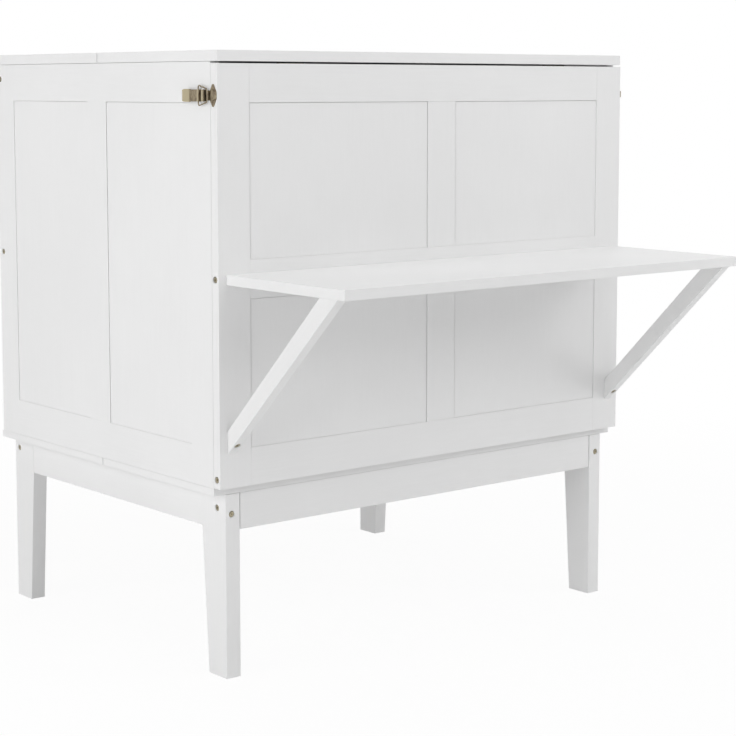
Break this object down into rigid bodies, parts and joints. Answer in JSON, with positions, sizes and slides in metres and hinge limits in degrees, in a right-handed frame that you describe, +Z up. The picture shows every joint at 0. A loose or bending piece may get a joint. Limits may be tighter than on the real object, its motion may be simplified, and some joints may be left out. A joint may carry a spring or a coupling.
{
  "type": "wall bed",
  "caption": "White panelled chest on tapered legs whose front folds down on its shelf into a single bed, with a flip-back lid and toggle latches.",
  "frame": {"origin": "on the floor, under the middle of the whole object with its bed closed", "axes": "+X to the right seen from the front, -Y towards the front where the shelf is, +Z up"},
  "size_m": [1.0752, 1.16, 1.1695],
  "materials": {
    "white_paint": "satin white paint",
    "plywood": "clear satin lacquer",
    "antique_brass": "antique brass",
    "bolt_nickel": "dull nickel"
  },
  "bodies": {
    "cabinet": {"leg_front_left": "white_paint", "leg_front_right": "white_paint", "leg_rear_left": "white_paint", "leg_rear_right": "white_paint", "apron_front": "white_paint", "apron_rear": "white_paint", "apron_left": "white_paint", "apron_right": "white_paint", "middle_beam": "white_paint", "base_board_front": "white_paint", "base_board_rear": "white_paint", "left_front_stile": "white_paint", "left_middle_stile": "white_paint", "left_rear_stile": "white_paint", "left_top_rail": "white_paint", "left_bottom_rail": "white_paint", "left_infills": "white_paint", "right_front_stile": "white_paint", "right_middle_stile": "white_paint", "right_rear_stile": "white_paint", "right_top_rail": "white_paint", "right_bottom_rail": "white_paint", "right_infills": "white_paint", "back_top_rail": "white_paint", "back_middle_rail": "white_paint", "back_bottom_rail": "white_paint", "back_sheets": "plywood", "lid_rear": "white_paint", "lid_hinge_fixed_leaves": "antique_brass", "panel_hinge_fixed_leaves": "antique_brass", "latch_base_left": "antique_brass", "latch_base_right": "antique_brass", "cabinet_bolts": "bolt_nickel"},
    "front_panel": {"panel_left_stile": "white_paint", "panel_right_stile": "white_paint", "panel_top_rail": "white_paint", "panel_middle_rail": "white_paint", "panel_bottom_rail": "white_paint", "panel_muntins": "white_paint", "panel_infills": "white_paint", "shelf_board": "white_paint", "brace_left": "white_paint", "brace_right": "white_paint", "panel_hinge_swing_leaves": "antique_brass", "foot_hinge_fixed_leaves": "antique_brass", "latch_keeper_left": "antique_brass", "latch_keeper_right": "antique_brass", "panel_bolts": "bolt_nickel"},
    "foot_section": {"foot_board": "white_paint", "foot_battens": "plywood", "foot_leg_pins": "bolt_nickel", "foot_hinge_swing_leaves": "antique_brass"},
    "foot_leg_left": {"foot_leg_left": "white_paint"},
    "foot_leg_right": {"foot_leg_right": "white_paint"},
    "lid_front": {"lid_front": "white_paint", "lid_hinge_swing_leaves": "antique_brass"},
    "latch_lever_left": {"latch_lever_left": "antique_brass"},
    "latch_lever_right": {"latch_lever_right": "antique_brass"},
    "latch_bail_left": {"latch_bail_left": "antique_brass"},
    "latch_bail_right": {"latch_bail_right": "antique_brass"}
  },
  "joints": [
    {"name": "front_panel_fold", "type": "hinge", "parent": "cabinet", "child": "front_panel", "pos_m": [0, -0.215, 0.3655], "axis": [1, 0, 0], "range_deg": [0, 90]},
    {"name": "foot_section_unfold", "type": "hinge", "parent": "front_panel", "child": "foot_section", "pos_m": [0, -0.215, 1.1408], "axis": [1, 0, 0], "range_deg": [0, 180]},
    {"name": "lid_flip", "type": "hinge", "parent": "cabinet", "child": "lid_front", "pos_m": [0, 0.1715, 1.1665], "axis": [-1, 0, 0], "range_deg": [0, 180]},
    {"name": "foot_leg_left_swing", "type": "hinge", "parent": "foot_section", "child": "foot_leg_left", "pos_m": [-0.47, -0.1865, 0.9468], "axis": [0, 0, 1], "range_deg": [0, 90]},
    {"name": "latch_left_lever", "type": "hinge", "parent": "cabinet", "child": "latch_lever_left", "pos_m": [-0.5285, -0.2, 1.084], "axis": [0, 0, 1], "range_deg": [0, 140]},
    {"name": "latch_left_bail", "type": "hinge", "parent": "latch_lever_left", "child": "latch_bail_left", "pos_m": [-0.5285, -0.186, 1.084], "axis": [0, 0, -1], "range_deg": [0, 155]},
    {"name": "foot_leg_right_swing", "type": "hinge", "parent": "foot_section", "child": "foot_leg_right", "pos_m": [0.47, -0.1865, 0.9468], "axis": [0, 0, -1], "range_deg": [0, 90]},
    {"name": "latch_right_lever", "type": "hinge", "parent": "cabinet", "child": "latch_lever_right", "pos_m": [0.5285, -0.2, 1.084], "axis": [0, 0, -1], "range_deg": [0, 140]},
    {"name": "latch_right_bail", "type": "hinge", "parent": "latch_lever_right", "child": "latch_bail_right", "pos_m": [0.5285, -0.186, 1.084], "axis": [0, 0, 1], "range_deg": [0, 155]}
  ],
  "couplings": [
    {"joint": "foot_section_unfold", "follows": "front_panel_fold", "ratio": 2},
    {"joint": "foot_leg_left_swing", "follows": "front_panel_fold", "ratio": 1},
    {"joint": "latch_left_bail", "follows": "latch_left_lever", "ratio": 1.1},
    {"joint": "foot_leg_right_swing", "follows": "front_panel_fold", "ratio": 1},
    {"joint": "latch_right_bail", "follows": "latch_right_lever", "ratio": 1.1}
  ]
}
